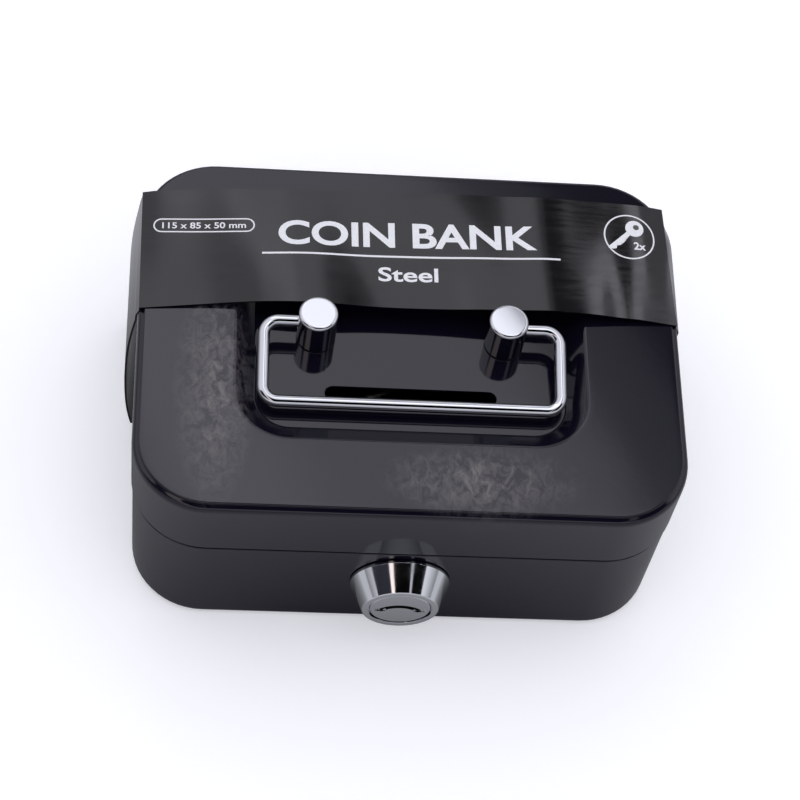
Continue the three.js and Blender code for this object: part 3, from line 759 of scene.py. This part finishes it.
# ---------------------------------------------------------------- keys
def keys():
    """Stamped keys: round bow with a hole and a raised rim, arched blade with a few cuts."""
    bow, hole, blade, thick, blade_thick, rise = 8.5, 1.9, 21, 1.5, 0.8, 2.2
    for name, x, y, turn in [("key_1", -24, 8, -70), ("key_2", 34, 14, 150)]:
        line = fillet([(hole, 0), (bow, 0), (bow, thick), (bow - 1.4, thick), (bow - 1.7, thick - 0.25),
                       (hole + 1.1, thick - 0.25), (hole + 0.8, thick), (hole, thick)],
                      [0.15, 0.35, 0.35, 0.05, 0.05, 0.05, 0.05, 0.15], steps=4)
        bm = turned(line, 72, upright(), ring=True)
        shank = crescent((blade_thick - 1.3) / 2, bow - 1, bow + blade,
                         along_y(0, rise / 2 + blade_thick / 2), edge=0.1)
        # Cuts in the blade's edges, two a side, and its tip bevelled at both sides.
        clear, end, cuts = 6, bow + blade, []
        for k in range(4):
            start = bow + 4.6 + 3 * k
            deep = 4.4 - (1.4 if k % 2 else 0.9)
            side = 1 if k < 2 else -1
            notch = [(side * clear, start - 1.0), (side * clear, start + 2.2),
                     (side * deep, start + 1.2), (side * deep, start)]
            cuts.append(plate(notch, -1, clear, upright(), 0.01))
        for side in (-1, 1):
            tip = [(side * 2.2, end + 1), (side * clear, end + 1), (side * clear, end - 3.2)]
            cuts.append(plate(tip, -1, clear, upright(), 0.01))
        made = as_object(name + "_cut", bm)
        machined(made, [shank], "UNION")
        machined(made, cuts)
        laid = Matrix.Rotation(math.radians(turn), 4, "Z")
        made.data.transform(Matrix.Translation(Vector((x, y, 1)) * MM) @ laid)
        piece(name + "_cut", made, "base", NICKEL, [name])


# ---------------------------------------------------------------- card sleeve
# Edges of the band over the lid, from left to right: x, y, z. It is pushed up behind the two posts
# and has slid a little forward at the left.
FRONT_EDGE = [(-57.3, 4.0, 50.25), (-50.8, 4.6, 50.45), (-44.6, 5.15, 50.9), (-38.4, 5.6, 51.4),
              (-31.0, 5.75, 52.2), (-23.8, 5.75, 52.65), (-15.3, 5.75, 52.4), (-2.6, 5.75, 51.7),
              (8.0, 5.75, 51.95), (16.5, 5.75, 52.6), (24.9, 5.75, 53.15), (29.0, 5.75, 53.25),
              (34.0, 5.75, 52.9), (40.0, 5.7, 52.4), (44.5, 5.65, 51.75), (48.9, 5.6, 51.35),
              (57.1, 5.2, 50.25)]
REAR_EDGE = [(-57.7, 33.3, 50.3), (-54.4, 33.7, 50.6), (-45.4, 34.1, 51.2), (-36.8, 34.4, 51.7),
             (-21.7, 34.6, 52.3), (-2.0, 34.85, 52.65), (20.0, 34.9, 52.8), (28.5, 34.9, 52.95),
             (36.0, 34.9, 52.6), (43.0, 34.9, 52.2), (51.1, 34.9, 51.65), (55.8, 34.9, 50.6)]
# One flap's outer face at the left: distance from the middle of the box, and height.
FLAP = [(58.95, 1.0), (59.4, 3.5), (60.0, 9.0), (60.3, 16.0), (60.25, 25.0), (59.85, 33.0),
        (59.25, 39.0), (58.55, 44.5), (58.15, 47.6), (57.85, 49.2)]
CARD_THICK = 0.45
# The flaps bulge outside this; the right one only this share of the left.
FLAT_OUT, RIGHT_BULGE = 57.95, 0.55


def smooth(table, at, column, key=0):
    """A value read off a table of points by a smooth curve through them."""
    last = len(table) - 1
    k = 0
    while k < last - 1 and at > table[k + 1][key]:
        k += 1
    p0, p1, p2, p3 = (table[min(max(k + i, 0), last)] for i in (-1, 0, 1, 2))
    run = p2[key] - p1[key]
    t = min(max((at - p1[key]) / run, 0), 1)
    lean1 = (p2[column] - p0[column]) / (p2[key] - p0[key]) * run
    lean2 = (p3[column] - p1[column]) / (p3[key] - p1[key]) * run
    return ((2 * t ** 3 - 3 * t * t + 1) * p1[column] + (t ** 3 - 2 * t * t + t) * lean1
            + (3 * t * t - 2 * t ** 3) * p2[column] + (t ** 3 - t * t) * lean2)


def band_edges(x):
    """Depth of the band's front and rear edges at one place across."""
    return smooth(FRONT_EDGE, x, 1), smooth(REAR_EDGE, x, 1)


def card_height(x, y):
    """Height of the band's outer face over the lid, with the slight waves of a handled card."""
    front, rear = band_edges(x)
    back = min(max((y - front) / (rear - front), 0), 1)
    sag = 0.5 - 0.5 * math.cos(math.pi * back)
    height = smooth(FRONT_EDGE, x, 2) * (1 - sag) + smooth(REAR_EDGE, x, 2) * sag
    wave = 0.09 * math.sin(x / 5.0 + 1.1 * back) + 0.05 * math.sin(x / 2.7 + 2.0 + 1.6 * back)
    crease = 57
    return height + wave * (1 - min(abs(x) / crease, 1) ** 6)


def side_of_box(y, z):
    """How far out the box's side stands at one depth and height, with its corner and shoulder."""
    past = max(y - (HALF_Y - CORNER), 0)
    up = min(max(z - (LEDGE_Z - SHOULDER_DEEP), 0) / SHOULDER_DEEP, 1)
    corner = HALF_X - CORNER + math.sqrt(CORNER ** 2 - past ** 2)
    return corner - SHOULDER_IN * (1 - math.sqrt(1 - up ** 2))


def sleeve_line(back):
    """The band's section at a share of its depth, from the left bottom edge to the right."""
    ends = [FRONT_EDGE[0][0] * (1 - back) + REAR_EDGE[0][0] * back,
            FRONT_EDGE[-1][0] * (1 - back) + REAR_EDGE[-1][0] * back]
    across, rise, clearance = 96, 26, 0.08
    top = []
    for k in range(across + 1):
        x = ends[0] + (ends[1] - ends[0]) * k / across
        front, rear = band_edges(x)
        y = front + (rear - front) * back
        top.append((x, y, card_height(x, y)))
    flaps = []
    low_z, (crease_x, crease_z) = FLAP[0][1], FLAP[-1]
    for side, (x, y, _), bulge in [(-1, top[0], 1.0), (1, top[-1], RIGHT_BULGE)]:
        flap = []
        for k in range(rise + 1):
            z = low_z + (crease_z - low_z) * k / rise
            out = smooth(FLAP, z, 0, key=1)
            out = FLAT_OUT + (out - FLAT_OUT) * bulge if out > FLAT_OUT else out
            # Close under the crease the flap leans in or out to meet the end of the band.
            out += (abs(x) - crease_x) * (z / crease_z) ** 8
            flap.append((side * max(out, side_of_box(y, z) + CARD_THICK + clearance), y, z))
        flaps.append(flap)
    return flaps[0] + top + flaps[1][::-1]


def sleeve():
    """Die-cut card band, creased at the two top corners, its cut edges showing the board."""
    deep = 20
    outer = [[Vector(point) for point in sleeve_line(k / deep)] for k in range(deep + 1)]
    count = len(outer[0])
    inner = []
    for j in range(deep + 1):
        back = []
        for i in range(count):
            across = outer[j][min(i + 1, count - 1)] - outer[j][max(i - 1, 0)]
            along = outer[min(j + 1, deep)][i] - outer[max(j - 1, 0)][i]
            back.append(outer[j][i] + along.cross(across).normalized() * CARD_THICK)
        inner.append(back)
    bm = bmesh.new()
    outside, inside = rows_of(bm, outer), rows_of(bm, inner)
    board = []
    for j in range(deep):
        for i in range(count - 1):
            bm.faces.new((outside[j][i], outside[j][i + 1], outside[j + 1][i + 1], outside[j + 1][i]))
            board.append((inside[j][i], inside[j + 1][i], inside[j + 1][i + 1], inside[j][i + 1]))
        board += [(outside[j][i], outside[j + 1][i], inside[j + 1][i], inside[j][i])
                  for i in (0, count - 1)]
    for i in range(count - 1):
        board += [(outside[j][i], outside[j][i + 1], inside[j][i + 1], inside[j][i]) for j in (0, deep)]
    for corners in board:
        bm.faces.new(corners).material_index = 1
    piece("card_sleeve", bm, "sleeve", [CARD, BOARD], ["sleeve"])


def wording(text, height, x, y, bold=0.0, width=None):
    """Lettering as a flat mesh: cap height and middle in millimetres, squeezed to a width if given."""
    curve = bpy.data.curves.new("wording", "FONT")
    curve.body = text
    curve.size = 10
    curve.offset = bold
    curve.resolution_u = 6
    temporary = bpy.data.objects.new("wording", curve)
    bpy.context.scene.collection.objects.link(temporary)
    mesh = solved_mesh(temporary)
    bpy.data.objects.remove(temporary)
    xs, ys = [v.co.x for v in mesh.vertices], [v.co.y for v in mesh.vertices]
    tall = height / (max(ys) - min(ys))
    wide = width / (max(xs) - min(xs)) if width else tall
    middle_x, middle_y = (max(xs) + min(xs)) / 2, (max(ys) + min(ys)) / 2
    points = [((v.co.x - middle_x) * wide + x, (v.co.y - middle_y) * tall + y) for v in mesh.vertices]
    faces = [list(face.vertices) for face in mesh.polygons]
    bpy.data.meshes.remove(mesh)
    return points, faces


def outlined(points, thickness):
    """A closed printed line: (points, faces)."""
    inner = moved_in(points, thickness)
    count = len(points)
    faces = [[i, (i + 1) % count, count + (i + 1) % count, count + i] for i in range(count)]
    return list(points) + inner, faces


def key_sign(x, y, lean, bow=2.05):
    """A small key seen flat: ring-shaped bow, and a blade with three teeth."""
    steps = 26
    ring = circle(bow, steps) + circle(bow * 0.33, steps, bow * 0.25, 0)
    blade = [(-bow * 0.9, 0.55), (-7.6, 0.55), (-8.0, 0.1), (-7.5, -0.55), (-6.8, -0.95), (-6.2, -0.5),
             (-5.5, -0.95), (-4.9, -0.5), (-4.2, -0.95), (-3.5, -0.5), (-bow * 0.9, -0.5)]
    turn = [math.cos(lean), math.sin(lean)]
    placed = [[(x + u * turn[0] - v * turn[1], y + u * turn[1] + v * turn[0]) for u, v in loop]
              for loop in (ring, blade)]
    faces = [[i, (i + 1) % steps, steps + (i + 1) % steps, steps + i] for i in range(steps)]
    return [(placed[0], faces), (placed[1], [list(range(len(blade)))])]


def print_on_sleeve():
    """White print on the band: generic words, a size line in a pill, and a key in a ring."""
    count, bar = 40, 0.23
    line = [(-31.9 + 64.0 * k / count, 18.4 - bar) for k in range(count + 1)]
    rule = (line + [(x, y + 2 * bar) for x, y in line],
            [[i, i + 1, count + 2 + i, count + 1 + i] for i in range(count)])
    pill = [(x - 44.2, y + 25.55) for x, y in stadium(21.6, 3.5)]
    parts = [
        wording("COIN BANK", 6.3, -0.6, 23.7, bold=0.24, width=55.6),
        wording("Steel", 3.5, -0.8, 14.0, bold=0.18, width=12.8),
        wording("115 x 85 x 50 mm", 1.55, -44.2, 25.55, bold=0.16, width=17.8),
        wording("2x", 1.9, 50.1, 23.5, bold=0.25),
        rule,
        outlined(pill, 0.3),
        outlined(circle(5.7, 56, 47.9, 25.7), 0.34),
        *key_sign(49.2, 27.9, math.radians(43)),
    ]
    # The print is turned a little about the middle of the band, with the card.
    slant, middle_y = math.radians(0.9), 19
    c, s = math.cos(slant), math.sin(slant)
    bm = bmesh.new()
    for points, faces in parts:
        verts = [bm.verts.new((x * c - (y - middle_y) * s, middle_y + x * s + (y - middle_y) * c, 0))
                 for x, y in points]
        for face in faces:
            bm.faces.new([verts[i] for i in face])
    bmesh.ops.triangulate(bm, faces=bm.faces)
    # Long edges are divided so that the flat print can lie on the waves of the card.
    longest, low, high = 0.9, 0.01, 0.035
    for _ in range(3):
        long = [edge for edge in bm.edges if edge.calc_length() > longest]
        bmesh.ops.subdivide_edges(bm, edges=long, cuts=1)
        bmesh.ops.triangulate(bm, faces=bm.faces)
    bottom = list(bm.verts)
    bm.verts.index_update()
    flat = [[vertex.index for vertex in face.verts] for face in bm.faces]
    rim = [[vertex.index for vertex in edge.verts] for edge in bm.edges if edge.is_boundary]
    top = [bm.verts.new((v.co.x, v.co.y, card_height(v.co.x, v.co.y) + high)) for v in bottom]
    for vertex in bottom:
        vertex.co.z = card_height(vertex.co.x, vertex.co.y) + low
    for corners in flat:
        bm.faces.new([top[i] for i in corners])
    for a, b in rim:
        bm.faces.new((bottom[a], bottom[b], top[b], top[a]))
    for vertex in bm.verts:
        vertex.co *= MM
    piece("sleeve_print", bm, "sleeve", INK)


# ---------------------------------------------------------------- studio
DAYLIGHT = shade("#f5f6ff")
UNLIT = {"Roughness": 1.0, "Specular IOR Level": 0.0}


def level_sheet(name, x, y, z, colour="#080808", bright=0.0, tint=DAYLIGHT, lights=False):
    """A level sheet of the set, out of the camera's sight: x and y from..to and height in metres. It is
    a dark flag, or it glows evenly, or as a list of (place across in metres, brightness) says."""
    bm = bmesh.new()
    corners = [(x[0], y[0]), (x[0], y[1]), (x[1], y[1]), (x[1], y[0])]
    bm.faces.new([bm.verts.new((*corner, z)) for corner in corners])
    made = as_object(name, bm)
    made.visible_camera = False
    made.visible_diffuse = lights
    material, tree, shader, place = finish_of(name, {
        "Base Color": shade(colour), **UNLIT, "Emission Color": tint})
    if isinstance(bright, list):
        # Places are counted at a slant, from a line that passes 0.27 m to the right of the middle.
        lean, start = (1.0, 0.5, 0.0), 0.27
        slant = add(tree, "ShaderNodeVectorMath", {"operation": "DOT_PRODUCT"}, {1: lean},
                    {0: (place, "Object")})
        top = max(value for _, value in bright)
        first, last = bright[0][0], bright[-1][0]
        along = between(tree, slant, 0, 1, first + start, last + start, "Value")
        ramp = add(tree, "ShaderNodeValToRGB", links={"Fac": (along, "Result")})
        stops = ramp.color_ramp.elements
        for number, (at, value) in enumerate(bright):
            share = (at - first) / (last - first)
            stop = stops[number] if number < 2 else stops.new(share)
            stop.position = share
            stop.color = [value / top] * 3 + [1]
        strength = add(tree, "ShaderNodeMath", {"operation": "MULTIPLY"}, {1: top}, {0: (ramp, "Color")})
        tree.links.new(strength.outputs["Value"], shader.inputs["Emission Strength"])
    else:
        shader.inputs["Emission Strength"].default_value = bright
    made.data.materials.append(material)


def painted_table_reflection():
    """A glowing sheet that gloss sees in the table's place, a painted reflection of the lit table: grey,
    with painted shade that makes it darker close to the box. The camera sees the floor.
    """
    half, below, reach = 4.0, -0.0008, 2.0
    bm = bmesh.new()
    corners = [(-half, -half), (half, -half), (half, half), (-half, half)]
    bm.faces.new([bm.verts.new((*corner, below)) for corner in corners])
    sheet = as_object("painted_table_reflection", bm)
    # The sheet glows as a painted reflection of the lit table. It is no lamp.
    material, tree, shader, place = finish_of("painted table reflection", {
        "Base Color": shade("#080808"), **UNLIT, "Emission Color": DAYLIGHT})
    spread = add(tree, "ShaderNodeMapping", {"vector_type": "TEXTURE"}, {
        "Scale": (reach * HALF_X * MM, reach * HALF_Y * MM, 1)}, {"Vector": (place, "Object")})
    # Painted shade: the sheet glows dimmer close to the box, in place of the shadow that the box casts
    # on the table.
    painted_shade_near_box = add(tree, "ShaderNodeTexGradient", {"gradient_type": "SPHERICAL"},
               links={"Vector": (spread, "Vector")})
    strength = between(tree, painted_shade_near_box, 0.6, 0.07, 0, 0.5)
    tree.links.new(strength.outputs["Result"], shader.inputs["Emission Strength"])
    sheet.data.materials.append(material)
    sheet.visible_camera = sheet.visible_diffuse = sheet.visible_shadow = False


def studio():
    """A pale floor, a wide diffuser overhead that is brighter to the left, and over the front three
    dark flags with two lit strips between them."""
    level = -0.06
    floor = as_object("floor", turned([(0, level), (900, level), (4000, level)], 96, upright()))
    # The paper glows a little, to stay pale under the dark flags.
    material, tree, shader, place = finish_of("pale paper", {
        "Roughness": 0.95, "Specular IOR Level": 0.1,
        "Emission Color": shade("#f6f6fa"), "Emission Strength": 0.3,
    })
    grain = add(tree, "ShaderNodeTexNoise", sockets={"Scale": every(3), "Detail": 3.0},
                links={"Vector": (place, "Object")})
    colour = add(tree, "ShaderNodeMix", {"data_type": "RGBA"}, {
        "A": shade("#f0f0f1"), "B": shade("#f4f4f5"),
    }, {"Factor": (grain, "Fac")})
    tree.links.new(colour.outputs["Result"], shader.inputs["Base Color"])
    floor.data.materials.append(material)
    # Gloss sees the painted table reflection in the floor's place: a glowing sheet with painted shade
    # near the box.
    floor.visible_glossy = False

    world = bpy.data.worlds.new("studio")
    bpy.context.scene.world = world
    world.use_nodes = True
    ambient = world.node_tree.nodes["Background"]
    ambient.inputs["Color"].default_value = DAYLIGHT
    # The room is dimmer low down, as if its walls stood farther off than its ceiling.
    place = add(world.node_tree, "ShaderNodeTexCoord")
    height = add(world.node_tree, "ShaderNodeSeparateXYZ", links={"Vector": (place, "Generated")})
    strength = between(world.node_tree, height, 0.25, 1.15, 0.0, 0.7, "Z")
    world.node_tree.links.new(strength.outputs["Result"], ambient.inputs["Strength"])

    painted_table_reflection()
    over, over_front, front = 1.15, 1.2, (-1.3, -0.12)
    level_sheet("diffuser", (-1.3, 1.3), (-0.12, 1.5), over, lights=True, bright=[
        (-1.3, 1.0), (-0.13, 1.1), (-0.03, 2.1), (0.03, 2.0), (0.07, 1.6), (0.25, 1.55), (0.29, 1.25),
        (0.315, 0.62), (0.375, 0.5), (0.39, 0.12), (0.6, 0.12), (0.62, 2.8), (0.74, 2.8), (0.77, 0.9),
        (1.3, 0.9)])
    level_sheet("flag_left", (-3.4, -0.66), front, over_front, "#303136")
    level_sheet("flag_middle", (-0.42, 0.47), front, over_front)
    level_sheet("flag_right", (0.62, 1.85), front, over_front)
    level_sheet("strip_left", (-0.66, -0.42), front, over_front, bright=1.3, tint=shade("#fff0ec"))
    level_sheet("strip_right", (0.47, 0.62), front, over_front, bright=0.55)


def camera():
    """Looks down at the front from a little to the left."""
    azimuth, elevation, roll = math.radians(-10.7), math.radians(59.37), math.radians(11.47)
    distance = 513.9
    target = Vector((0.04, -1.15, 25))
    back = Vector((math.sin(azimuth) * math.cos(elevation), -math.cos(azimuth) * math.cos(elevation),
                   math.sin(elevation)))
    right = Vector((math.cos(azimuth), math.sin(azimuth), 0))
    up = back.cross(right)
    tilted_right = right * math.cos(roll) + up * math.sin(roll)
    tilted_up = up * math.cos(roll) - right * math.sin(roll)
    lens = bpy.data.cameras.new("camera")
    lens.sensor_width = 36
    lens.lens = 105.417
    lens.clip_start, lens.clip_end = 0.01, 20
    stand = bpy.data.objects.new("camera", lens)
    axes = Matrix((tilted_right, tilted_up, back)).transposed().to_4x4()
    stand.matrix_world = Matrix.Translation((target + back * distance) * MM) @ axes
    bpy.context.scene.collection.objects.link(stand)
    bpy.context.scene.camera = stand
    bpy.context.scene.view_settings.view_transform = "Standard"


# ---------------------------------------------------------------- assembly
camera()
studio()
tray()
lid()
posts()
handle()
post_fixings()
lock_case()
lock_core()
lock_fixings()
catch()
hinge()
keys()
sleeve()
print_on_sleeve()

for number in range(1, 5):
    wafer = frame["nodes"][f"lock_wafer_{number}"]
    wafer.data.materials.clear()
    wafer.data.materials.append(BRASS)

bpy.context.view_layer.update()
